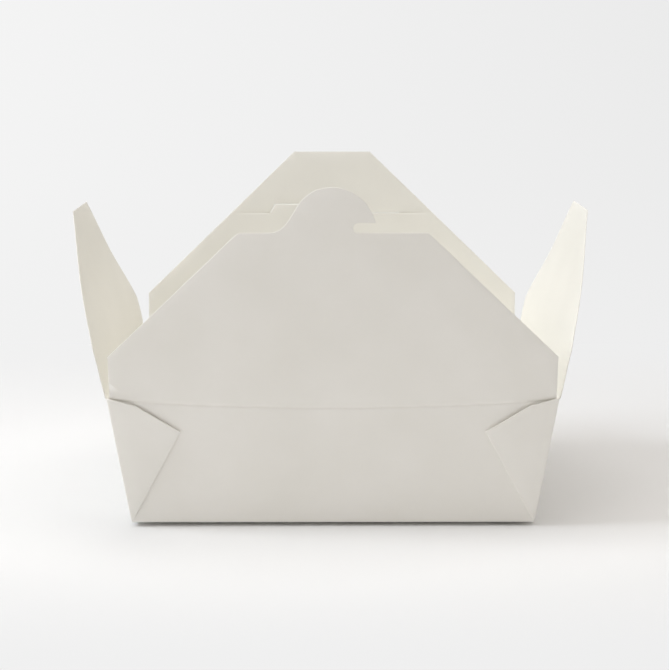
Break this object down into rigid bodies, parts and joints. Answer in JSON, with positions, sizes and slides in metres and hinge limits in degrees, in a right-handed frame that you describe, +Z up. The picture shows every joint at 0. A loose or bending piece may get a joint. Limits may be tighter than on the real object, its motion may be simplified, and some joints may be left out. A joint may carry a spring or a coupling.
{
  "type": "takeout food box",
  "caption": "Open takeout food box: flared rectangular paperboard tray with folded web corners and hinged top flaps, the front one with a hooked locking tab.",
  "frame": {"origin": "centre of the flat of the base that rests on the table", "axes": "+X to the right along the long sides, -Y towards the front flap with the tab, +Z up out of the open box"},
  "size_m": [0.2586, 0.1865, 0.171],
  "materials": {
    "paperboard": "white clay-coated paperboard, satin, with pale cut edges"
  },
  "bodies": {
    "tray": {"tray": "paperboard"},
    "front_flap": {"front_flap": "paperboard"},
    "rear_flap": {"rear_flap": "paperboard"},
    "left_flap": {"left_flap": "paperboard"},
    "right_flap": {"right_flap": "paperboard"}
  },
  "joints": [
    {"name": "front_fold", "type": "hinge", "parent": "tray", "child": "front_flap", "pos_m": [0, -0.07947, 0.068], "axis": [1, 0, 0], "range_deg": [-97.8, 82.2]},
    {"name": "rear_fold", "type": "hinge", "parent": "tray", "child": "rear_flap", "pos_m": [0, 0.07937, 0.06735], "axis": [1, 0, 0], "range_deg": [-82.6, 97.4]},
    {"name": "left_fold", "type": "hinge", "parent": "tray", "child": "left_flap", "pos_m": [-0.10777, 0, 0.0667], "axis": [0, 1, 0], "range_deg": [-74.9, 105.1]},
    {"name": "right_fold", "type": "hinge", "parent": "tray", "child": "right_flap", "pos_m": [0.10777, 0, 0.0667], "axis": [0, 1, 0], "range_deg": [-103.6, 76.4]}
  ]
}
